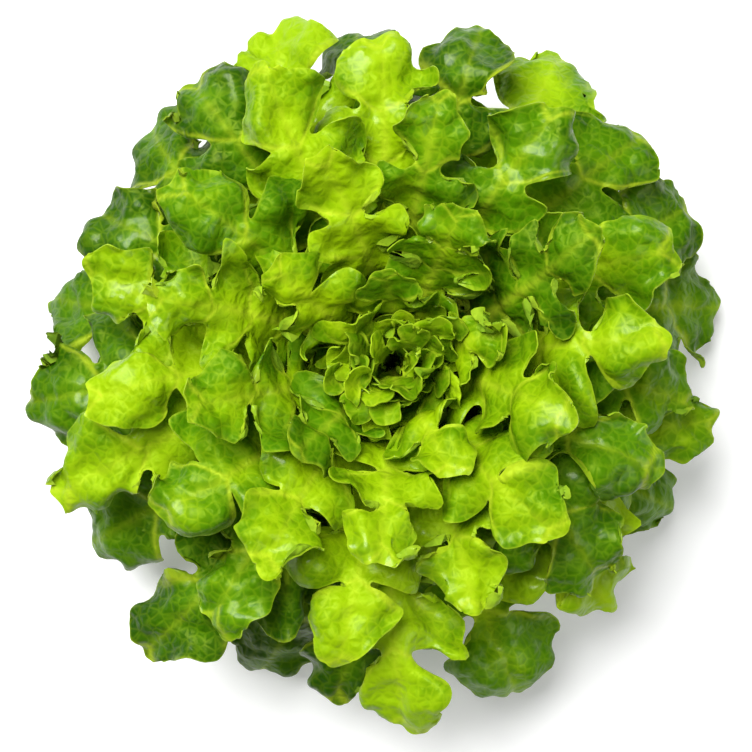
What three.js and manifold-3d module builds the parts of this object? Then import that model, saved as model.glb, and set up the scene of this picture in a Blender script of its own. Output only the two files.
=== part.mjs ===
// A whole head of green oak leaf lettuce, standing on the cut face of its stem.
// Millimetres, +Z up. The origin is the centre of the cut face. Every leaf grows from the
// stem's rounded crown, so each point of a leaf is placed by its distance from the crown's
// centre, its polar angle from +Z and its azimuth from +X, all angles in degrees.
import * as THREE from "three";
import { mergeVertices } from "three/addons/utils/BufferGeometryUtils.js";
import Module from "manifold-3d";

// Stem: a short stalk, cut flat below, with a rounded crown that carries the leaves.
const CROWN_HEIGHT = 14;
const CROWN_RADIUS = 18;
const CUT_RADIUS = 15;
const CUT_BEVEL = 1.2;
const CROWN_STEPS = 9;
const STEM_SIDES = 24;

// The leaves from the outermost in: azimuth of the tip, and how far the tip reaches from the
// stem's axis. Leaves that meet round the head sit at least four places apart in this order,
// so the outer one always hangs clear below the inner one.
const OUTER_LEAVES = [
  [10, 141], [96, 142], [169, 148], [247, 142], [333, 134], [61, 139], [135, 143], [211, 145],
  [290, 143], [28, 139], [109, 145], [186, 146], [260, 138], [350, 136], [75, 139], [153, 136],
  [229, 154], [312, 137], [42, 134], [126, 140], [202, 146], [272, 146],
];
const MIDDLE_LEAVES = [
  [352, 126], [92, 128], [163, 125], [235, 124], [313, 120], [22, 117], [114, 122], [187, 119],
  [260, 116], [338, 110], [57, 115], [141, 110], [213, 107], [287, 100], [6, 101], [80, 101],
  [165, 95], [238, 91], [314, 88], [34, 88], [110, 82], [192, 78], [266, 73], [342, 69],
];
const INNER_LEAVES = [[66, 62], [142, 56], [222, 50], [298, 45], [16, 39], [96, 34]];

// Attitude: polar angle of a tip, how far the leaf bends out on its way there, and how much
// lower the outer leaves are rooted. Pairs of values are for the innermost and outermost leaf.
const TIP_ANGLE = [18, 90];
const TIP_ANGLE_POWER = 0.82;
const RECURVE = [6, 27];
const RECURVE_GROWTH = 0.8;
const RECURVE_POWER = 3.4;
const ROOT_DROP = [0, 22];
const ROOT_DROP_POWER = 6;
const ROOT_GAP = 0.3;
const SIDE_BEND = 11;

// Blade: half its width across the widest lobes and at the root, and half its thickness.
const HALF_WIDTH = [16, 35];
const HALF_WIDTH_GROWTH = 0.55;
const ROOT_HALF_WIDTH = [3.4, 6];
const EDGE_HALF_THICKNESS = 0.36;
const RIB_HALF_THICKNESS = [0.51, 0.9];
const RIB_TAPER = 1.5;

// Lobes: how many to the leaf's length, where the bay below the end lobe is, how deep and how
// narrow the bays are, how the lobes bulge and sweep forward, and where the end lobe rounds.
const LOBES_PER_LENGTH = 4.4;
const LAST_BAY = 0.82;
const BAY_DEPTH = 0.62;
const BAY_SHARPNESS = 1.4;
const BAY_SHIFT = 0.09;
const LOBE_BULGE = 0.25;
const LOBE_SWEEP = 0.07;
const LOBE_SKEW = 0.04;
const CAP_START = 0.87;
const CAP_END_SHARE = 0.14;

// Relief, as an angle seen from the crown, for the innermost and outermost leaf.
const RUFFLES_PER_LOBE = 0.45;
const RUFFLE = [1.1, 3];
const RUFFLE_OFFSET = 2.5;
const RUFFLE_EDGE_POWER = 1.5;
const DROOP = [0.6, 2.4];
const LOBE_CURL = [0.5, 1.2];
const TWIST = [0.5, 1.2];

// How far each trait varies from leaf to leaf, as a share, or as a power for the lobes' pitch.
const WIDTH_RANGE = [0.9, 1.06];
const BAY_DEPTH_RANGE = [0.8, 1.1];
const RUFFLE_RANGE = [0.75, 1];
const DROOP_RANGE = [0.6, 1.4];
const LOBE_CURL_RANGE = [0.4, 1];
const LOBE_PITCH_RANGE = [0.86, 1.28];

// Where along a leaf, from 0 at the root to 1 at the tip, each feature fades in and out.
const LOBED_FROM = [0.1, 0.34];
const LOBED_TO = [0.93, 1];
const SWEPT_FROM = [0.15, 0.4];
const SWEPT_TO = [0.72, 0.92];
const SKEWED_FROM = [0.3, 0.6];
const SKEWED_TO = [0.85, 1];
const RUFFLED_FROM = [0.25, 0.85];
const TWISTED_FROM = [0.55, 1];
const DROOPED_FROM = [0.3, 0.8];

// Share of the full half width that a leaf has along its length, without its bays.
const ENVELOPE = [
  [0, 0],
  [0.16, 0.06],
  [0.46, 0.84],
  [0.7, 1],
  [0.88, 0.58],
  [1, 0.5],
];

// Stations along a leaf, close together at the bays and lobes, and lines across it.
const STATIONS = [
  0, 0.14, 0.24, 0.32, 0.366, 0.4, 0.44, 0.48, 0.525, 0.565, 0.593, 0.62, 0.66, 0.707, 0.755,
  0.79, 0.82, 0.85, 0.885, 0.925, 0.965, 1,
];
const ACROSS = [-1, 0, 1];
const NORMAL_STEP = 0.004;
const LEAST_RADIUS = 5;

// Heart: a slim core with small young leaves round it, grown together as one body. Pairs are
// for its innermost and outermost leaf. Its profile lists distance from the crown and angle.
const HEART_LEAVES = 10;
const GOLDEN_ANGLE = 137.508;
const HEART_ROOT_DISTANCE = 36;
const HEART_REACH = [4, 22];
const HEART_HEIGHT = [90, 110];
const HEART_RECURVE = [1, 4.5];
const HEART_HALF_WIDTH = [8, 11];
const HEART_ROOT_HALF_WIDTH = 2.4;
const HEART_RUFFLE = 2.2;
const HEART_LOBE_CURL = 1;
const HEART_STATIONS = [0, 0.366, 0.48, 0.593, 0.66, 0.755, 0.82, 0.885, 0.95, 1];
const HEART_SIDES = 12;
const HEART_PROFILE = [
  [18.4, 0],
  [18.4, 6.5],
  [40, 6],
  [66, 6],
  [84, 5],
  [92, 0],
];

const LEAF_COLOURS = { outer: 0x3f7d16, middle: 0x86b41a, inner: 0xa3c71f, heart: 0x9fbe2a };
const LEAF_ROUGHNESS = 0.45;
const STEM_COLOUR = 0xdfe3b4;
const STEM_ROUGHNESS = 0.6;

const RADIANS = Math.PI / 180;
const TURN = 2 * Math.PI;
const wasm = await Module();
wasm.setup();

const mix = (a, b, share) => a + (b - a) * share;

function ease([from, to], x) {
  const share = Math.min(1, Math.max(0, (x - from) / (to - from)));
  return share * share * (3 - 2 * share);
}

// A fixed random number from 0 to 1 for each leaf and trait.
function chance(leaf, trait) {
  const x = Math.sin(leaf * 127.1 + trait * 311.7) * 43758.5453;
  return x - Math.floor(x);
}

const spread = (leaf, trait) => 2 * chance(leaf, trait) - 1;

function crownPoint(distance, polar, azimuth) {
  const radius = distance * Math.sin(polar * RADIANS);
  return new THREE.Vector3(
    radius * Math.cos(azimuth * RADIANS),
    radius * Math.sin(azimuth * RADIANS),
    CROWN_HEIGHT + distance * Math.cos(polar * RADIANS),
  );
}

// The two sides of a leaf start their ruffle nearly in opposition, in radians.
const ruffleStarts = (share) => [TURN * share, TURN * share + RUFFLE_OFFSET];

// The traits of leaf number index, out of count, counted from the outermost in.
function leafTraits(index, count, azimuth, reach) {
  const outwards = 1 - index / (count - 1);
  const tipAngle = mix(...TIP_ANGLE, outwards ** TIP_ANGLE_POWER);
  const halfWidth = mix(...HALF_WIDTH, outwards ** HALF_WIDTH_GROWTH);
  return {
    azimuth,
    tipAngle,
    rootDistance: CROWN_RADIUS + ROOT_GAP,
    tipDistance: reach / Math.sin(tipAngle * RADIANS),
    recurve: mix(...RECURVE, outwards ** RECURVE_GROWTH),
    rootDrop: mix(...ROOT_DROP, outwards),
    halfWidth: halfWidth * mix(...WIDTH_RANGE, chance(index, 1)),
    rootHalfWidth: mix(...ROOT_HALF_WIDTH, outwards),
    ribHalfThickness: mix(...RIB_HALF_THICKNESS, outwards),
    bayShift: [BAY_SHIFT * spread(index, 2), BAY_SHIFT * spread(index, 3)],
    bayDepth: BAY_DEPTH * mix(...BAY_DEPTH_RANGE, chance(index, 4)),
    ruffle: mix(...RUFFLE, outwards) * mix(...RUFFLE_RANGE, chance(index, 5)),
    ruffleStart: ruffleStarts(chance(index, 6)),
    twist: mix(...TWIST, outwards) * spread(index, 7),
    droop: mix(...DROOP, outwards) * mix(...DROOP_RANGE, chance(index, 8)),
    bend: SIDE_BEND * spread(index, 9),
    lobeCurl: mix(...LOBE_CURL, outwards) * mix(...LOBE_CURL_RANGE, chance(index, 10)),
    lobePitch: mix(...LOBE_PITCH_RANGE, chance(index, 11)),
    skew: LOBE_SKEW * spread(index, 12),
  };
}

function heartTraits(index) {
  const outwards = Math.sqrt((index + 0.5) / HEART_LEAVES);
  const reach = mix(...HEART_REACH, outwards);
  const height = mix(...HEART_HEIGHT, chance(index, 11));
  return {
    azimuth: index * GOLDEN_ANGLE,
    tipAngle: Math.atan2(reach, height) / RADIANS,
    rootDistance: HEART_ROOT_DISTANCE,
    tipDistance: Math.hypot(reach, height),
    recurve: mix(...HEART_RECURVE, outwards),
    rootDrop: 0,
    halfWidth: mix(...HEART_HALF_WIDTH, outwards),
    rootHalfWidth: HEART_ROOT_HALF_WIDTH,
    ribHalfThickness: EDGE_HALF_THICKNESS,
    bayShift: [BAY_SHIFT * spread(index, 12), BAY_SHIFT * spread(index, 13)],
    bayDepth: BAY_DEPTH,
    ruffle: HEART_RUFFLE,
    ruffleStart: ruffleStarts(chance(index, 14)),
    twist: 0,
    droop: 0,
    bend: 0,
    lobeCurl: HEART_LOBE_CURL,
    lobePitch: 1,
    skew: 0,
  };
}

// The envelope at a share of the length, by smooth steps between its listed points.
function envelope(along) {
  const next = ENVELOPE.findIndex(([place]) => along <= place);
  if (next === 0) return ENVELOPE[0][1];
  if (next < 0) return ENVELOPE[ENVELOPE.length - 1][1];
  const [from, low] = ENVELOPE[next - 1];
  const [to, high] = ENVELOPE[next];
  return mix(low, high, ease([from, to], along));
}

// Half the leaf's width. It narrows at each bay and closes round the end lobe.
function halfWidthAt(leaf, along, bay) {
  const plain = mix(leaf.rootHalfWidth, leaf.halfWidth, envelope(along));
  const intoCap = Math.max(0, (along - CAP_START) / (1 - CAP_START));
  const cap = Math.sqrt(Math.max(0, 1 - intoCap * intoCap));
  return plain * (1 - leaf.bayDepth * bay) * mix(CAP_END_SHARE, 1, cap);
}

// A point on the middle surface of a blade. along runs from 0 at the root to 1 at the tip,
// and across from -1 at one edge to 1 at the other.
function bladePoint(leaf, along, across) {
  const side = across < 0 ? 0 : 1;
  const edge = across * across;
  const bayTurn = TURN * (LOBES_PER_LENGTH * (along - LAST_BAY) + leaf.bayShift[side]);
  const lobed = ease(LOBED_FROM, along) * (1 - ease(LOBED_TO, along));
  const bay = lobed * (0.5 + 0.5 * Math.cos(bayTurn)) ** BAY_SHARPNESS;
  const bulge = (LOBE_BULGE / (TURN * LOBES_PER_LENGTH)) * lobed * Math.sin(bayTurn);
  const sweep = LOBE_SWEEP * ease(SWEPT_FROM, along) * (1 - ease(SWEPT_TO, along));
  const skew = leaf.skew * Math.sign(across) * ease(SKEWED_FROM, along) * (1 - ease(SKEWED_TO, along));
  const place = Math.max(0, along) ** leaf.lobePitch + edge * (sweep - bulge + skew);
  const distance = mix(leaf.rootDistance, leaf.tipDistance, place);

  const ruffleTurn = RUFFLES_PER_LOBE * TURN * LOBES_PER_LENGTH * along + leaf.ruffleStart[side];
  const ruffled = Math.abs(across) ** RUFFLE_EDGE_POWER * ease(RUFFLED_FROM, along);
  const relief =
    leaf.ruffle * ruffled * Math.sin(ruffleTurn) -
    leaf.lobeCurl * edge * lobed * Math.cos(bayTurn) +
    leaf.twist * across * ease(TWISTED_FROM, along) +
    leaf.droop * edge * ease(DROOPED_FROM, along);
  const polar =
    leaf.tipAngle -
    leaf.recurve * (1 - Math.max(0, place) ** RECURVE_POWER) +
    leaf.rootDrop * Math.max(0, 1 - place) ** ROOT_DROP_POWER;
  const radius = Math.hypot(distance * Math.sin(polar * RADIANS), LEAST_RADIUS);
  const aside = (across * halfWidthAt(leaf, along, bay)) / radius / RADIANS;
  return crownPoint(distance, polar + relief, leaf.azimuth - leaf.bend * (1 - along * along) + aside);
}

function bladeNormal(leaf, along, across) {
  const inside = across * (1 - NORMAL_STEP);
  const lengthwise = bladePoint(leaf, along + NORMAL_STEP, across);
  lengthwise.sub(bladePoint(leaf, along - NORMAL_STEP, across));
  const crosswise = bladePoint(leaf, along, inside + NORMAL_STEP);
  crosswise.sub(bladePoint(leaf, along, inside - NORMAL_STEP));
  return crosswise.cross(lengthwise).normalize();
}

// A closed blade: two like faces of triangles, either side of the middle surface, and a rim.
function bladeGeometry(leaf, stations) {
  const positions = [];
  for (const face of [1, -1]) {
    for (const along of stations) {
      for (const across of ACROSS) {
        const ribShare = (1 - Math.abs(across)) * (1 - along) ** RIB_TAPER;
        const half = mix(EDGE_HALF_THICKNESS, leaf.ribHalfThickness, ribShare);
        const point = bladePoint(leaf, along, across);
        point.addScaledVector(bladeNormal(leaf, along, across), face * half);
        positions.push(...point.toArray());
      }
    }
  }
  const wide = ACROSS.length;
  const long = stations.length;
  const back = wide * long;
  const at = (row, column) => row * wide + column;
  const triangles = [];
  for (let row = 0; row + 1 < long; row++) {
    for (let column = 0; column + 1 < wide; column++) {
      const [a, b] = [at(row, column), at(row, column + 1)];
      const [c, d] = [at(row + 1, column + 1), at(row + 1, column)];
      triangles.push(a, b, c, a, c, d);
      triangles.push(back + a, back + c, back + b, back + a, back + d, back + c);
    }
  }
  const outline = [];
  for (let column = 0; column + 1 < wide; column++) outline.push(at(0, column));
  for (let row = 0; row + 1 < long; row++) outline.push(at(row, wide - 1));
  for (let column = wide - 1; column > 0; column--) outline.push(at(long - 1, column));
  for (let row = long - 1; row > 0; row--) outline.push(at(row, 0));
  outline.forEach((here, i) => {
    const next = outline[(i + 1) % outline.length];
    triangles.push(here, back + here, back + next, here, back + next, next);
  });
  return new THREE.BufferGeometry()
    .setAttribute("position", new THREE.Float32BufferAttribute(positions, 3))
    .setIndex(triangles);
}

function turnedGeometry(profile, sides) {
  const points = profile.map(([radius, height]) => new THREE.Vector2(radius, height));
  const turned = new THREE.LatheGeometry(points, sides).rotateX(Math.PI / 2);
  turned.deleteAttribute("normal");
  turned.deleteAttribute("uv");
  return mergeVertices(turned);
}

function solidOf(geometry) {
  return new wasm.Manifold(
    new wasm.Mesh({
      numProp: 3,
      vertProperties: new Float32Array(geometry.attributes.position.array),
      triVerts: new Uint32Array(geometry.index.array),
    }),
  );
}

function geometryOf(solid) {
  const mesh = solid.getMesh();
  return new THREE.BufferGeometry()
    .setAttribute("position", new THREE.BufferAttribute(mesh.vertProperties, 3))
    .setIndex(new THREE.BufferAttribute(mesh.triVerts, 1));
}

function namedMesh(name, geometry, color, roughness) {
  geometry.computeVertexNormals();
  const material = new THREE.MeshStandardMaterial({ color, roughness, metalness: 0, flatShading: true });
  const mesh = new THREE.Mesh(geometry, material);
  mesh.name = name;
  return mesh;
}

// The stalk from the centre of its cut face, over the bevel and up round the crown.
function stem() {
  const lowestAngle = 180 - Math.asin((CUT_RADIUS + CUT_BEVEL) / CROWN_RADIUS) / RADIANS;
  const profile = [[0, 0], [CUT_RADIUS, 0]];
  for (let step = 0; step < CROWN_STEPS; step++) {
    const angle = lowestAngle * (1 - step / CROWN_STEPS) * RADIANS;
    profile.push([CROWN_RADIUS * Math.sin(angle), CROWN_HEIGHT + CROWN_RADIUS * Math.cos(angle)]);
  }
  profile.push([0, CROWN_HEIGHT + CROWN_RADIUS]);
  return namedMesh("stem", turnedGeometry(profile, STEM_SIDES), STEM_COLOUR, STEM_ROUGHNESS);
}

// The core and its young leaves in one solid. A hollow that the join seals is filled.
function heart() {
  const profile = HEART_PROFILE.map(([distance, angle]) => [
    distance * Math.sin(angle * RADIANS),
    CROWN_HEIGHT + distance * Math.cos(angle * RADIANS),
  ]);
  let joined = solidOf(turnedGeometry(profile, HEART_SIDES));
  for (let index = 0; index < HEART_LEAVES; index++) {
    joined = joined.add(solidOf(bladeGeometry(heartTraits(index), HEART_STATIONS)));
  }
  const largest = joined.decompose().reduce((a, b) => (b.volume() > a.volume() ? b : a));
  return namedMesh("heart", geometryOf(largest), LEAF_COLOURS.heart, LEAF_ROUGHNESS);
}

const head = new THREE.Group();
head.name = "oak_leaf_lettuce";
head.add(stem(), heart());
const rings = { outer: OUTER_LEAVES, middle: MIDDLE_LEAVES, inner: INNER_LEAVES };
const leafCount = OUTER_LEAVES.length + MIDDLE_LEAVES.length + INNER_LEAVES.length;
let index = 0;
for (const [ring, leaves] of Object.entries(rings)) {
  leaves.forEach(([azimuth, reach], place) => {
    const traits = leafTraits(index, leafCount, azimuth, reach);
    const name = `${ring}_leaf_${String(place + 1).padStart(2, "0")}`;
    head.add(namedMesh(name, bladeGeometry(traits, STATIONS), LEAF_COLOURS[ring], LEAF_ROUGHNESS));
    index += 1;
  });
}

export default head;
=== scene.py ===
import math
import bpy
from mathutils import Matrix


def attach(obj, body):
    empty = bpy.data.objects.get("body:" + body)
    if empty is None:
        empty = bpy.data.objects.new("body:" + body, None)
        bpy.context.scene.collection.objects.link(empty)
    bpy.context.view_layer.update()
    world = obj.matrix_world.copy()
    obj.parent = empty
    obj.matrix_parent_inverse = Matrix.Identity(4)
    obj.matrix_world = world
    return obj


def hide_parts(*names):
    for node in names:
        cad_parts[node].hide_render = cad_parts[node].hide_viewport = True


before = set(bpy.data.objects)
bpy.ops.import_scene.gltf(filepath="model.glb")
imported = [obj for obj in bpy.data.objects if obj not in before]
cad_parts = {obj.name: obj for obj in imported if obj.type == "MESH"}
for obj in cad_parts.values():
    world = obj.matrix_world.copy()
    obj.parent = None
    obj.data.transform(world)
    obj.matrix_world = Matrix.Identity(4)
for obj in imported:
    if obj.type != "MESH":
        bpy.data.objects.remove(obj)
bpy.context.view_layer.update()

from types import SimpleNamespace

import bpy
import numpy as np

# Outer leaves.
# The 22 oldest leaves: thin, tender blades of deep green that lie almost flat round the head.
# Each grew from the foot of the crown on a pale rib. Its edge is cut into round lobes, and the
# blade swelled between its veins, so it is puffed and blistered, frilled and glossy.


class Value:
    """A socket in a material. Arithmetic on it adds Math nodes to that material."""

    def __init__(self, tree, socket):
        self.tree = tree
        self.socket = socket

    def node(self, kind, output=0, inputs=None, **settings):
        """Adds any node: its settings first, then the values or links of its sockets."""
        made = self.tree.nodes.new(kind)
        for name, setting in settings.items():
            setattr(made, name, setting)
        for name, given in (inputs or {}).items():
            if isinstance(given, Value):
                self.tree.links.new(given.socket, made.inputs[name])
            else:
                made.inputs[name].default_value = given
        return Value(self.tree, made.outputs[output])

    def math(self, operation, first, second):
        return self.node("ShaderNodeMath", inputs={0: first, 1: second}, operation=operation)

    def __add__(self, other):
        return self.math("ADD", self, other)

    def __radd__(self, other):
        return self.math("ADD", other, self)

    def __sub__(self, other):
        return self.math("SUBTRACT", self, other)

    def __rsub__(self, other):
        return self.math("SUBTRACT", other, self)

    def __mul__(self, other):
        return self.math("MULTIPLY", self, other)

    def __rmul__(self, other):
        return self.math("MULTIPLY", other, self)

    def between(self, low, high):
        """0 up to low, 1 from high on, and a smooth step in between."""
        return self.node(
            "ShaderNodeMapRange",
            inputs={"Value": self, "From Min": low, "From Max": high},
            interpolation_type="SMOOTHSTEP",
        )

    def colour(self, first, second):
        """The first colour where this value is 0, the second where it is 1."""
        inputs = {0: self, 6: first, 7: second}
        return self.node("ShaderNodeMix", 2, inputs, data_type="RGBA")


def new_material(name):
    """A material, its Principled shader and a Value that starts its node maths."""
    material = bpy.data.materials.new(name)
    material.use_nodes = True
    tree = material.node_tree
    return material, tree.nodes["Principled BSDF"], Value(tree, None)


def attribute(start, name):
    """A value that is kept at each point of the mesh."""
    return start.node("ShaderNodeAttribute", 2, attribute_name=name)


def noise(start, where, fineness, detail):
    """Soft random patches from 0 to 1, finer as fineness grows."""
    inputs = {"Vector": where, "Scale": fineness, "Detail": detail}
    return start.node("ShaderNodeTexNoise", 0, inputs)


pale_vein = (0.58, 0.70, 0.03, 1.0)
pale_rim = (0.56, 0.72, 0.03, 1.0)
green_glint = (0.8, 1.0, 0.12, 1.0)
light_through = (0.46, 0.70, 0.004, 1.0)
share_through = 0.15


def leaf_material(name, deep, middling, bright, underside, gloss):
    """Leaf skin: greens by tone (which holds a painted shade towards the root), pale veins and rim, a
    fine net of veins, wax and light let through.
    """
    material, shader, start = new_material(name)
    tree = material.node_tree
    where = start.node("ShaderNodeTexCoord", 3)
    # tone holds each blade's own greens and the painted shade that darkens it towards its root
    tone = attribute(start, "tone")
    vein = attribute(start, "vein")
    rim = attribute(start, "rim")
    under = attribute(start, "under")
    patches = noise(start, where, 55.0, 3.0)
    specks = noise(start, where, 420.0, 4.0)
    inputs = {"Vector": where, "Scale": 260.0}
    cells = start.node("ShaderNodeTexVoronoi", 0, inputs, feature="DISTANCE_TO_EDGE")
    net = 1.0 - cells.between(0.0, 0.16)
    shade = tone + (patches - 0.5) * 0.85 + (specks - 0.5) * 0.2 + net * 0.05
    skin = shade.between(0.0, 0.55).colour(deep, middling)
    skin = shade.between(0.45, 1.0).colour(skin, bright)
    skin = (vein * 0.5 + net * 0.06).colour(skin, pale_vein)
    skin = (under * 0.5).colour(skin, underside)
    skin = (rim * 0.3).colour(skin, pale_rim)
    tree.links.new(skin.socket, shader.inputs["Base Color"])
    rough = gloss + (patches - 0.5) * 0.22 + (specks - 0.5) * 0.14 + under * 0.2
    tree.links.new(rough.socket, shader.inputs["Roughness"])
    height = cells.between(0.0, 0.5) * 0.55 + specks * 0.3 + patches * 0.4 - vein * 0.25
    bump = start.node("ShaderNodeBump", 0, {"Strength": 0.6, "Distance": 0.0009, "Height": height})
    tree.links.new(bump.socket, shader.inputs["Normal"])
    shader.inputs["Specular IOR Level"].default_value = 0.32
    shader.inputs["Specular Tint"].default_value = green_glint
    wet = noise(start, where, 34.0, 2.0).between(0.5, 0.68) * 0.4
    tree.links.new(wet.socket, shader.inputs["Coat Weight"])
    shader.inputs["Coat Roughness"].default_value = 0.2
    through = tree.nodes.new("ShaderNodeBsdfTranslucent")
    through.inputs["Color"].default_value = light_through
    blend = tree.nodes.new("ShaderNodeMixShader")
    blend.inputs[0].default_value = share_through
    tree.links.new(shader.outputs[0], blend.inputs[1])
    tree.links.new(through.outputs[0], blend.inputs[2])
    tree.links.new(blend.outputs[0], tree.nodes["Material Output"].inputs["Surface"])
    return material


def mix(a, b, share):
    """From a at share 0 to b at share 1."""
    return a + (b - a) * share


def ease(start, end, x):
    """0 up to start, 1 from end on, and a smooth step in between."""
    share = np.clip((x - start) / (end - start), 0.0, 1.0)
    return share * share * (3.0 - 2.0 * share)


def chance(leaf, trait):
    """A fixed random number from 0 to 1 for each leaf and trait."""
    x = np.sin(leaf * 127.1 + trait * 311.7) * 43758.5453
    return x - np.floor(x)


def spread(leaf, trait):
    """A fixed random number from -1 to 1 for each leaf and trait."""
    return 2.0 * chance(leaf, trait) - 1.0


millimetre = 0.001
# height above the table of the point in the crown that the leaves spread from, in millimetres
crown_height = 14.0
leaf_count = 52
# shares of a blade's length: where its lobes begin and stand full, and its last bay
lobes_begin = 0.1
lobes_full = 0.34
last_bay = 0.82
# the share of a blade's width that is always left, at a bay and at the tip
narrowest = 0.14
# lengths along the rim, in millimetres
wide_scallop = 17.0
small_scallop = 10.5
tip_notch = 17.0


def leaf_traits(index, azimuth, reach):
    """The traits of a leaf, numbered from the outermost in, in millimetres and degrees."""
    outwards = 1.0 - index / (leaf_count - 1)
    tip_angle = mix(18.0, 90.0, outwards**0.82)
    ruffle_start = math.tau * chance(index, 6)
    return SimpleNamespace(
        index=index,
        azimuth=azimuth,
        tip_angle=tip_angle,
        root_distance=17.5,
        tip_distance=reach / math.sin(math.radians(tip_angle)),
        recurve=mix(6.0, 27.0, outwards**0.8),
        root_drop=22.0 * outwards,
        half_width=mix(16.0, 35.0, outwards**0.55) * mix(0.9, 1.06, chance(index, 1)),
        root_half_width=mix(3.4, 6.0, outwards),
        bay_shift=(0.09 * spread(index, 2), 0.09 * spread(index, 3)),
        lobes=mix(7.0, 5.0, outwards),
        bay_depth=0.86 * mix(0.88, 1.08, chance(index, 4)),
        ruffle=mix(1.1, 3.0, outwards) * mix(0.75, 1.0, chance(index, 5)),
        ruffle_start=(ruffle_start, ruffle_start + 2.5),
        twist=mix(0.5, 1.2, outwards) * spread(index, 7),
        droop=mix(0.6, 2.4, outwards) * mix(0.6, 1.4, chance(index, 8)),
        bend=11.0 * spread(index, 9),
        lobe_curl=mix(0.5, 1.2, outwards) * mix(0.4, 1.0, chance(index, 10)),
        lobe_pitch=mix(0.86, 1.28, chance(index, 11)),
        skew=0.04 * spread(index, 12),
        scallop=0.07,
        fine=mix(0.7, 1.0, outwards**0.6),
        frill=mix(4.8, 4.0, outwards),
        frill_depth=mix(7.0, 10.0, outwards),
        tip_curl=mix(-7.0, 2.5, chance(index, 15)),
    )


def half_width_at(leaf, along, bay, swell):
    """Half the blade's width, and what share it is of the width the blade has between its bays."""
    # The envelope by shares of the blade's length and of its full width, and then the round tip.
    places = [0.0, 0.16, 0.46, 0.7, 0.88, 1.0]
    shares = [0.0, 0.06, 0.86, 1.0, 0.62, 0.5]
    envelope = np.full_like(along, shares[-1])
    for i in range(len(places) - 1):
        inside = (along >= places[i]) & (along <= places[i + 1])
        step = mix(shares[i], shares[i + 1], ease(places[i], places[i + 1], along))
        envelope = np.where(inside, step, envelope)
    plain = mix(leaf.root_half_width, leaf.half_width, np.where(along <= 0.0, 0.0, envelope))
    into_cap = np.maximum(0.0, (along - 0.87) / 0.13)
    cap = np.sqrt(np.maximum(0.0, 1.0 - (0.97 * into_cap) ** 2))
    left_by_bay = np.maximum(narrowest, 1.0 - leaf.bay_depth * bay)
    share = left_by_bay * mix(narrowest, 1.0, cap) * (1.0 + swell)
    return plain * share, share


def rim_length(leaf, along, across):
    """How far round the leaf's edge the nearest place on it lies from the root, in millimetres."""
    if not hasattr(leaf, "rim_lengths"):
        # It is measured once, on a draft of the leaf whose scallops follow its length alone.
        leaf.rim_lengths = None
        samples = np.linspace(-0.01, 1.01, 260)
        lengths = []
        for side in (-1.0, 1.0):
            rim = blade_point(leaf, samples, np.full_like(samples, side))
            gaps = np.linalg.norm(np.diff(rim, axis=0), axis=-1)
            lengths.append(np.concatenate([[0.0], np.cumsum(gaps)]))
        leaf.rim_lengths = (samples, lengths[0], lengths[1])
    if leaf.rim_lengths is None:
        return 120.0 * along
    samples, left, right = leaf.rim_lengths
    return np.where(across < 0, np.interp(along, samples, left), np.interp(along, samples, right))


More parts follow.
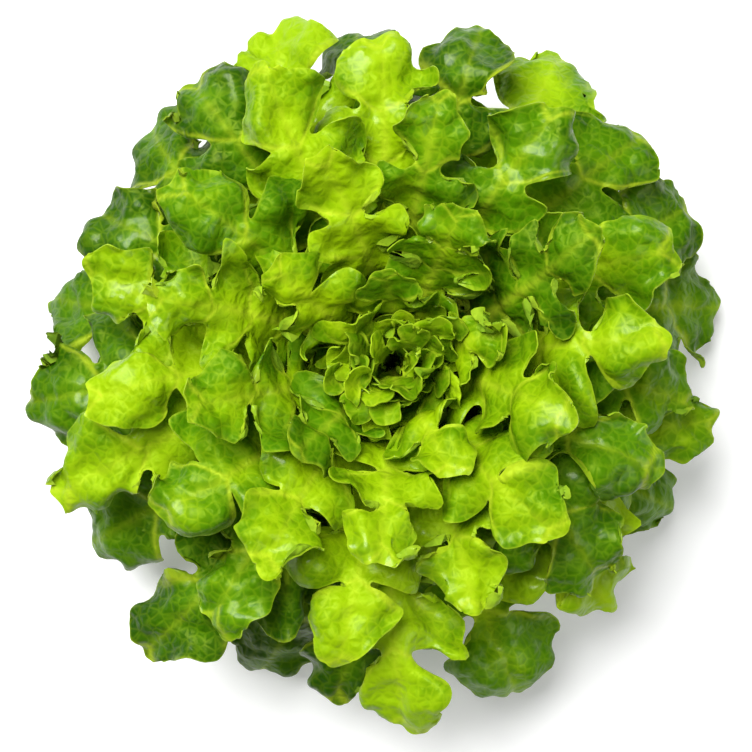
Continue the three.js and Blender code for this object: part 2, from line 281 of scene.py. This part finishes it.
def blade_point(leaf, along, across):
    """Points on the middle surface of a blade: along from root 0 to tip 1, across from -1 to 1."""
    shift = np.where(across < 0, leaf.bay_shift[0], leaf.bay_shift[1])
    ruffle_start = np.where(across < 0, leaf.ruffle_start[0], leaf.ruffle_start[1])
    side = np.where(across < 0, 0.0, 1.0)
    # Lobes are counted from the last bay: each bay is a whole number, each lobe's end a half.
    lobe = leaf.lobes * (along - last_bay) + shift
    bay_turn = math.tau * lobe
    lobed = ease(lobes_begin, lobes_full, along) * (1.0 - 0.6 * ease(0.95, 1.0, along))
    from_apex = np.where(lobe > 0.5, 0.0, 2.0 * np.abs(lobe % 1.0 - 0.5))
    depth = mix(0.72, 1.06, chance(leaf.index, 50.0 + 2.0 * np.floor(lobe + 0.5) + side))
    finger = 1.0 - np.sqrt(1.0 - (np.minimum(from_apex, 0.88) / 0.92) ** 2)
    bay = depth * lobed * (0.4 * finger + 0.6 * ease(0.4, 0.93, from_apex))
    out_of_bay = 0.5 - 0.5 * np.cos(bay_turn)
    # No two lobes are the same size, and their rims are scalloped.
    size = 0.2 * spread(leaf.index, 70.0 + 2.0 * np.floor(lobe) + side) * out_of_bay * lobed
    rim = math.tau * rim_length(leaf, along, across)
    wide_scallops = np.sqrt(0.04 + np.sin(0.5 * rim / wide_scallop + 3.0 * ruffle_start) ** 2)
    small_scallops = np.sqrt(0.1 + np.sin(0.5 * rim / small_scallop + 5.0 * ruffle_start) ** 2)
    scallops = leaf.scallop * lobed * (2.0 * wide_scallops + 0.8 * small_scallops - 1.75)
    half_width, share = half_width_at(leaf, along, bay, size + scallops)
    # Within the blade, the lobes swell over their bays and lean towards the tip.
    off_rib = across * share
    edge = off_rib**2
    bulge = 0.25 / (math.tau * leaf.lobes) * lobed * np.sin(bay_turn)
    sweep = 0.07 * ease(0.15, 0.4, along) * (1.0 - ease(0.66, 1.06, along))
    skew = leaf.skew * np.sign(across) * ease(0.3, 0.6, along) * (1.0 - ease(0.85, 1.0, along))
    place = np.maximum(0.0, along) ** leaf.lobe_pitch + edge * (sweep - bulge + skew)
    notches = np.cos(math.tau * across * half_width / tip_notch + 2.0 * leaf.ruffle_start[0])
    place = place + ease(0.84, 0.97, along) * (0.010 * notches - 0.035 * edge)
    distance = mix(leaf.root_distance, leaf.tip_distance, place)
    # Off its rib the blade waves, cups, twists and droops, in degrees round the crown.
    ruffled = np.abs(off_rib) ** 1.5 * ease(0.25, 0.85, along)
    waves = leaf.ruffle * ruffled * np.sin(1.98 * math.tau * along + ruffle_start)
    cupped_lobes = leaf.lobe_curl * edge * lobed * np.cos(bay_turn)
    twist = leaf.twist * off_rib * ease(0.55, 1.0, along)
    droop = leaf.droop * edge * ease(0.3, 0.8, along)
    # The rib rises steeply and arches over, so the leaf leans out most at its tip.
    polar = (
        leaf.tip_angle
        - leaf.recurve * (1.0 - np.maximum(0.0, place) ** 3.4)
        + leaf.root_drop * np.maximum(0.0, 1.0 - place) ** 6
    )
    radius = np.hypot(distance * np.sin(np.radians(polar)), 5.0)
    aside = across * half_width / radius
    azimuth = np.radians(leaf.azimuth - leaf.bend * (1.0 - along**2)) + aside
    polar = np.radians(polar + waves - cupped_lobes + twist + droop)
    out = distance * np.sin(polar)
    height = crown_height + distance * np.cos(polar)
    return np.stack([out * np.cos(azimuth), out * np.sin(azimuth), height], axis=-1)


def blade_normal(leaf, along, across):
    """The normal of the blade's upper face, which looks towards the head's axis."""
    inside = across * 0.996
    lengthwise = blade_point(leaf, along + 0.004, across) - blade_point(leaf, along - 0.004, across)
    crosswise = blade_point(leaf, along, inside + 0.004) - blade_point(leaf, along, inside - 0.004)
    normal = np.cross(lengthwise, crosswise)
    return normal / np.linalg.norm(normal, axis=-1, keepdims=True)


def fine_relief(leaf, along, aside, from_crown, from_rim):
    """How far puffs, waves and curls lift the blade, in millimetres, and where its veins run."""
    off_rib = np.minimum(1.2, np.abs(aside) / leaf.half_width)
    side = np.where(aside < 0, 0.0, 1.0)
    lobed = ease(lobes_begin, lobes_full, along)
    # A side vein runs out to the end of each lobe, in a valley between two puffs.
    lobe = leaf.lobes * (along - last_bay) + np.where(aside < 0, leaf.bay_shift[0], leaf.bay_shift[1])
    vein_turn = math.tau * (lobe + 0.57 * (1.0 - off_rib) + 0.5)
    valley = (0.5 + 0.5 * np.cos(vein_turn)) ** 3 * ease(0.0, 0.1, off_rib) * lobed
    side_vein = (0.5 + 0.5 * np.cos(vein_turn)) ** 60 * (1.0 - ease(0.45, 0.95, off_rib)) * lobed
    rib_line = np.exp(-((aside / 1.5) ** 2)) * (1.0 - 0.75 * ease(0.4, 1.0, along))
    tilt = spread(leaf.index, 40.0 + 2.0 * np.floor(lobe) + side)
    out_of_bay = 0.5 - 0.5 * np.cos(math.tau * lobe)
    # Two trains of waves cross in the frill, and fade away from the rim.
    phase = math.tau * chance(leaf.index, 30.0 + side)
    frill = np.sin(math.tau * (from_crown / 31.0 + np.abs(aside) / 43.0) + phase)
    frill = frill + 0.6 * np.sin(math.tau * (from_crown / 18.0 - np.abs(aside) / 27.0) + 2.6 * phase)
    near_rim = np.exp(-from_rim / leaf.frill_depth) * ease(0.2, 0.5, along) * ease(0.1, 0.6, off_rib)
    puffs = (1.0 - np.exp(-((from_rim / 7.0) ** 1.5))) * ease(0.0, 0.3, off_rib) * lobed
    puffs = 1.5 * puffs * (1.0 - 0.8 * valley)
    rib_groove = 0.5 * np.exp(-((aside / 6.5) ** 2)) * lobed
    tilted_lobes = 6.0 * tilt * off_rib**2 * out_of_bay**1.5 * lobed
    tilted_lobes = tilted_lobes * (1.0 - ease(0.9, 1.0, along))
    waves = leaf.frill * frill * near_rim
    turned_rim = 0.8 * np.exp(-from_rim / 3.2) * lobed
    curled_tip = leaf.tip_curl * ease(0.78, 1.05, along) ** 1.6
    relief = leaf.fine * (puffs - rib_groove + tilted_lobes + waves - turned_rim + curled_tip)
    return relief, np.maximum(rib_line, 0.8 * side_vein)


def cloud_texture(name, size, detail):
    texture = bpy.data.textures.new(name, "CLOUDS")
    texture.noise_scale = size
    texture.noise_depth = detail
    return texture


# each with the height that it lifts the blade by, in metres
swellings = [
    (cloud_texture("folds", 0.055, 0), 0.016),
    (cloud_texture("crumples", 0.022, 1), 0.012),
    (cloud_texture("blisters", 0.009, 1), 0.005),
]
blade_rows = 118
blade_columns = 28
rib_thickness = 1.7 * millimetre
thinnest_share = 0.3
sharp_angle = math.radians(65.0)


def grown_blade(name, leaf, rows, columns, tone, material):
    """A blade: a grid laid on the leaf's surface, blistered, and thickened towards its rib."""
    bpy.ops.object.select_all(action="DESELECT")
    bpy.ops.mesh.primitive_grid_add(x_subdivisions=columns, y_subdivisions=rows, size=2.0)
    piece = bpy.context.object
    piece.name = name
    mesh = piece.data
    mesh.name = name
    count = len(mesh.vertices)
    flat = np.empty(count * 3)
    mesh.vertices.foreach_get("co", flat)
    flat = flat.reshape(-1, 3)
    # The rows stand closer towards the tip and at the bays, the columns closer towards the rims.
    step = (flat[:, 1] + 1.0) / 2.0
    along = step * (1.35 - 0.35 * step)
    lobed = ease(lobes_begin, lobes_full, along) * (1.0 - ease(0.9, 1.0, along))
    bays = math.tau * (leaf.lobes * (along - last_bay) + 0.5 * sum(leaf.bay_shift))
    along = along - 0.4 / (math.tau * leaf.lobes) * lobed * np.sin(bays)
    across = -flat[:, 0] * (1.2 - 0.2 * flat[:, 0] ** 2)
    points = blade_point(leaf, along, across)
    rib = blade_point(leaf, along, np.zeros_like(across))
    aside = np.sign(across) * np.linalg.norm(points - rib, axis=-1)
    from_crown = np.linalg.norm(points - np.array([0.0, 0.0, crown_height]), axis=-1)
    edge = points[(np.abs(flat[:, 0]) > 0.999) | (flat[:, 1] > 0.999)]
    from_rim = np.min(np.linalg.norm(points[:, None] - edge[None], axis=-1), axis=1)
    relief, vein = fine_relief(leaf, along, aside, from_crown, from_rim)
    points = points + blade_normal(leaf, along, across) * relief[:, None]
    mesh.vertices.foreach_set("co", (points * millimetre).ravel())
    mesh.update()
    rim = 1.0 - ease(0.0, 1.3, from_rim)
    tones_with_painted_shade = tone + 0.2 * np.exp(-((aside / 10.0) ** 2)) - 0.16 * ease(0.5, 1.0, along)
    # Painted shade: each blade is darkened towards its root, where it lies deep in the head's shadow.
    tones_with_painted_shade = tones_with_painted_shade - 0.3 * (1.0 - ease(0.3, 0.7, along))
    for attribute_name, values in (("tone", tones_with_painted_shade), ("vein", vein), ("rim", rim)):
        layer = mesh.attributes.new(attribute_name, "FLOAT", "POINT")
        layer.data.foreach_set("value", values.astype(np.float32))
    rounding = piece.modifiers.new("rounding", "SMOOTH")
    rounding.factor = 0.5
    rounding.iterations = 9
    bpy.ops.object.modifier_apply(modifier="rounding")
    group = piece.vertex_groups.new(name="thickness")
    thick = mix(thinnest_share, 1.0, np.exp(-((aside / 2.8) ** 2)) * (1.0 - along) ** 1.5)
    for i, weight in enumerate(thick):
        group.add([i], float(weight), "REPLACE")
    for texture, height in swellings:
        swelling = piece.modifiers.new("swelling", "DISPLACE")
        swelling.texture = texture
        swelling.texture_coords = "LOCAL"
        swelling.strength = height * leaf.fine
        bpy.ops.object.modifier_apply(modifier="swelling")
    skin = piece.modifiers.new("skin", "SOLIDIFY")
    skin.thickness = rib_thickness
    skin.offset = 0.0
    skin.vertex_group = "thickness"
    bpy.ops.object.modifier_apply(modifier="skin")
    # Solidify adds the lower face's points after the upper face's.
    under = np.zeros(len(mesh.vertices), dtype=np.float32)
    under[count:] = 1.0
    mesh.attributes.new("under", "FLOAT", "POINT").data.foreach_set("value", under)
    mesh.shade_smooth()
    mesh.set_sharp_from_angle(angle=sharp_angle)
    mesh.materials.clear()
    mesh.materials.append(material)
    return piece


outer_skin = leaf_material(
    "outer_leaf_skin",
    deep=(0.012, 0.062, 0.001, 1.0),
    middling=(0.064, 0.190, 0.001, 1.0),
    bright=(0.280, 0.470, 0.003, 1.0),
    underside=(0.210, 0.370, 0.030, 1.0),
    gloss=0.42,
)
# azimuth of the tip in degrees, reach from the axis in millimetres, and tone from deep 0 to bright 1
outer_leaves = [
    (10, 141, 0.45), (96, 142, 0.15), (169, 148, 0.30), (247, 142, 0.15), (333, 134, 0.40),
    (61, 139, 0.80), (135, 143, 0.25), (211, 145, 0.40), (290, 143, 0.55), (28, 139, 0.35),
    (109, 145, 0.95), (186, 146, 0.35), (260, 138, 0.20), (350, 136, 0.60), (75, 139, 0.20),
    (153, 136, 0.20), (229, 154, 0.20), (312, 137, 0.95), (42, 134, 0.40), (126, 140, 0.25),
    (202, 146, 0.80), (272, 146, 0.90),
]
for place, (azimuth, reach, tone) in enumerate(outer_leaves):
    node = f"outer_leaf_{place + 1:02d}"
    leaf = leaf_traits(place, azimuth, reach)
    blade = grown_blade(node + "_blade", leaf, blade_rows, blade_columns, tone, outer_skin)
    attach(blade, "root")
    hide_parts(node)

# Middle leaves.
# The 24 leaves of the middle, half raised and arching outwards. They had less sun, so they are
# thinner and a bright yellow green that the light shines through.

middle_skin = leaf_material(
    "middle_leaf_skin",
    deep=(0.014, 0.068, 0.001, 1.0),
    middling=(0.070, 0.202, 0.001, 1.0),
    bright=(0.280, 0.466, 0.002, 1.0),
    underside=(0.260, 0.430, 0.030, 1.0),
    gloss=0.40,
)
middle_leaves = [
    (352, 126, 0.50), (92, 128, 0.80), (163, 125, 0.75), (235, 124, 0.50), (313, 120, 0.35),
    (22, 117, 0.60), (114, 122, 0.80), (187, 119, 0.90), (260, 116, 0.90), (338, 110, 0.40),
    (57, 115, 0.45), (141, 110, 0.50), (213, 107, 0.55), (287, 100, 0.80), (6, 101, 0.75),
    (80, 101, 0.50), (165, 95, 0.75), (238, 91, 0.80), (314, 88, 0.70), (34, 88, 0.30),
    (110, 82, 0.90), (192, 78, 0.60), (266, 73, 0.80), (342, 69, 0.70),
]
for place, (azimuth, reach, tone) in enumerate(middle_leaves):
    node = f"middle_leaf_{place + 1:02d}"
    leaf = leaf_traits(len(outer_leaves) + place, azimuth, reach)
    blade = grown_blade(node + "_blade", leaf, blade_rows, blade_columns, tone, middle_skin)
    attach(blade, "root")
    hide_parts(node)

# Inner leaves.
# The 6 youngest leaves that have opened: nearly upright, small and tender, with close frilled
# lobes. They are yellow green, and a few are deep and glossy at their tips.

inner_skin = leaf_material(
    "inner_leaf_skin",
    deep=(0.018, 0.078, 0.001, 1.0),
    middling=(0.080, 0.220, 0.001, 1.0),
    bright=(0.310, 0.495, 0.002, 1.0),
    underside=(0.260, 0.430, 0.030, 1.0),
    gloss=0.40,
)
inner_leaves = [
    (66, 62, 0.50), (142, 56, 0.75), (222, 50, 0.35), (298, 45, 0.70), (16, 39, 0.65),
    (96, 34, 0.50),
]
for place, (azimuth, reach, tone) in enumerate(inner_leaves):
    node = f"inner_leaf_{place + 1:02d}"
    leaf = leaf_traits(len(outer_leaves) + len(middle_leaves) + place, azimuth, reach)
    blade = grown_blade(node + "_blade", leaf, blade_rows, blade_columns, tone, inner_skin)
    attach(blade, "root")
    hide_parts(node)

# Heart.
# The growing point: small young leaves, still upright and joined at their base, frilled so
# closely that little light gets in between them.

heart_skin = leaf_material(
    "heart_leaf_skin",
    deep=(0.024, 0.082, 0.001, 1.0),
    middling=(0.105, 0.245, 0.001, 1.0),
    bright=(0.350, 0.540, 0.003, 1.0),
    underside=(0.230, 0.410, 0.020, 1.0),
    gloss=0.42,
)
young_leaf_count = 30
golden_angle = 137.508
# numbers for the random traits, past those of the open leaves
first_young_index = 60
young_rows = 56
young_columns = 22


def young_leaf_traits(place):
    """The traits of a young leaf, numbered from the middle of the heart out."""
    outwards = math.sqrt((place + 0.5) / young_leaf_count)
    reach = mix(3.0, 30.0, outwards)
    height = mix(100.0, 84.0, outwards) + 9.0 * spread(place, 11)
    ruffle_start = math.tau * chance(place, 14)
    return SimpleNamespace(
        index=first_young_index + place,
        azimuth=place * golden_angle,
        tip_angle=math.degrees(math.atan2(reach, height)),
        root_distance=36.0,
        tip_distance=math.hypot(reach, height),
        recurve=mix(1.0, 9.0, outwards),
        root_drop=0.0,
        half_width=mix(7.0, 12.0, outwards),
        root_half_width=2.4,
        bay_shift=(0.2 * spread(place, 12), 0.2 * spread(place, 13)),
        lobes=4.4,
        bay_depth=0.76,
        ruffle=2.4,
        ruffle_start=(ruffle_start, ruffle_start + 2.5),
        twist=3.0 * spread(place, 17),
        droop=mix(-2.0, 4.0, chance(place, 18)),
        bend=14.0 * spread(place, 19),
        lobe_curl=1.6,
        lobe_pitch=1.0,
        skew=0.0,
        scallop=0.06,
        fine=0.55,
        frill=4.0,
        frill_depth=5.0,
        tip_curl=mix(-6.0, 3.0, chance(place, 15)),
    )


young_leaves = []
for place in range(young_leaf_count):
    name = f"heart_young_leaf_{place + 1:02d}"
    tone = mix(0.25, 0.75, chance(place, 16))
    leaf = young_leaf_traits(place)
    young_leaves.append(grown_blade(name, leaf, young_rows, young_columns, tone, heart_skin))
bpy.ops.object.select_all(action="DESELECT")
for young in young_leaves:
    young.select_set(True)
bpy.context.view_layer.objects.active = young_leaves[0]
bpy.ops.object.join()
heart = bpy.context.object
heart.name = "heart_leaves"
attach(heart, "root")
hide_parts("heart")

# Stem.
# The short stem, cut across where the head was taken from the ground. It is firm, juicy and
# nearly white, and its rounded top is ringed with the scars that the leaves grew from.

bpy.ops.object.select_all(action="DESELECT")
bpy.ops.mesh.primitive_uv_sphere_add(segments=64, ring_count=60, radius=1.0)
stem = bpy.context.object
stem.name = "stem_stalk"
mesh = stem.data
mesh.name = "stem_stalk"
ball = np.empty(len(mesh.vertices) * 3)
mesh.vertices.foreach_get("co", ball)
ball = ball.reshape(-1, 3)
turn = np.arctan2(ball[:, 1], ball[:, 0])
down = np.degrees(np.arccos(np.clip(ball[:, 2], -1.0, 1.0)))
# By degrees down from the top: a round top, then the foot's side, its corner and the cut.
top_radius = 18.0
top_end = 115.8
foot_angles = [top_end, 128.0, 134.0, 180.0]
foot_radii = [16.2, 15.3, 14.6, 0.0]
foot_heights = [6.16, 0.9, 0.0, 0.0]
on_top = down < top_end
top_radii = top_radius * np.sin(np.radians(down))
top_heights = crown_height + top_radius * np.cos(np.radians(down))
radius = np.where(on_top, top_radii, np.interp(down, foot_angles, foot_radii))
height = np.where(on_top, top_heights, np.interp(down, foot_angles, foot_heights))
scars = 0.4 * np.sin(9.0 * turn + 0.4 * down) * ease(15.0, 60.0, down)
radius = radius + scars * (1.0 - ease(100.0, 115.0, down))
points = np.stack([radius * np.cos(turn), radius * np.sin(turn), height], axis=-1)
mesh.vertices.foreach_set("co", (points * millimetre).ravel())
mesh.update()
mesh.shade_smooth()
mesh.set_sharp_from_angle(angle=sharp_angle)

stem_skin, shader, start = new_material("stem_flesh")
tree = stem_skin.node_tree
where = start.node("ShaderNodeTexCoord", 3)
fibres = noise(start, where, 260.0, 5.0)
stains = noise(start, where, 70.0, 3.0).between(0.52, 0.75) * 0.5
green_white = (0.70, 0.74, 0.42, 1.0)
cream = (0.82, 0.84, 0.60, 1.0)
cut_brown = (0.48, 0.36, 0.18, 1.0)
flesh = stains.colour(fibres.colour(green_white, cream), cut_brown)
tree.links.new(flesh.socket, shader.inputs["Base Color"])
tree.links.new((0.42 + fibres * 0.25).socket, shader.inputs["Roughness"])
bump = start.node("ShaderNodeBump", 0, {"Strength": 0.4, "Distance": 0.0006, "Height": fibres})
tree.links.new(bump.socket, shader.inputs["Normal"])
mesh.materials.clear()
mesh.materials.append(stem_skin)
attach(stem, "root")
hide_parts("stem")

# Floor, light and camera.
# A plain white table, faintly lit from within, under a wide soft box at the upper left and a
# weak one across from it.

bpy.ops.mesh.primitive_plane_add(size=6.0)
floor = bpy.context.object
floor.name = "floor"
floor_finish, shader, _ = new_material("floor_white")
white = (1.0, 1.0, 1.0, 1.0)
shader.inputs["Base Color"].default_value = (0.92, 0.92, 0.92, 1.0)
shader.inputs["Roughness"].default_value = 0.8
shader.inputs["Emission Color"].default_value = white
shader.inputs["Emission Strength"].default_value = 0.14
floor.data.materials.append(floor_finish)

world = bpy.data.worlds.new("studio")
bpy.context.scene.world = world
world.use_nodes = True
background = world.node_tree.nodes["Background"]
background.inputs["Color"].default_value = white
background.inputs["Strength"].default_value = 0.10


middle_of_head = (0.0, 0.0, 0.05)
light_width = 1.2


def soft_light(name, place, watts):
    """A round soft light that looks at the middle of the head."""
    light = bpy.data.lights.new(name, "AREA")
    light.shape = "DISK"
    light.size = light_width
    light.energy = watts
    lamp = bpy.data.objects.new(name, light)
    bpy.context.scene.collection.objects.link(lamp)
    lamp.location = place
    aim = [t - p for t, p in zip(middle_of_head, place)]
    yaw = math.atan2(aim[1], aim[0]) - math.pi / 2.0
    pitch = math.atan2(math.hypot(aim[0], aim[1]), -aim[2])
    lamp.rotation_euler = (pitch, 0.0, yaw)


soft_light("key", (-0.50, 0.66, 1.5), 52.0)
soft_light("fill", (0.9, -0.5, 1.2), 8.0)

# It looks straight down, set a little aside as the head lies in the photograph's frame.
camera = bpy.data.cameras.new("camera")
camera.lens = 88.5
camera_object = bpy.data.objects.new("camera", camera)
bpy.context.scene.collection.objects.link(camera_object)
camera_object.location = (-0.0067, -0.0050, 0.80)
bpy.context.scene.camera = camera_object
bpy.context.scene.view_settings.view_transform = "Standard"
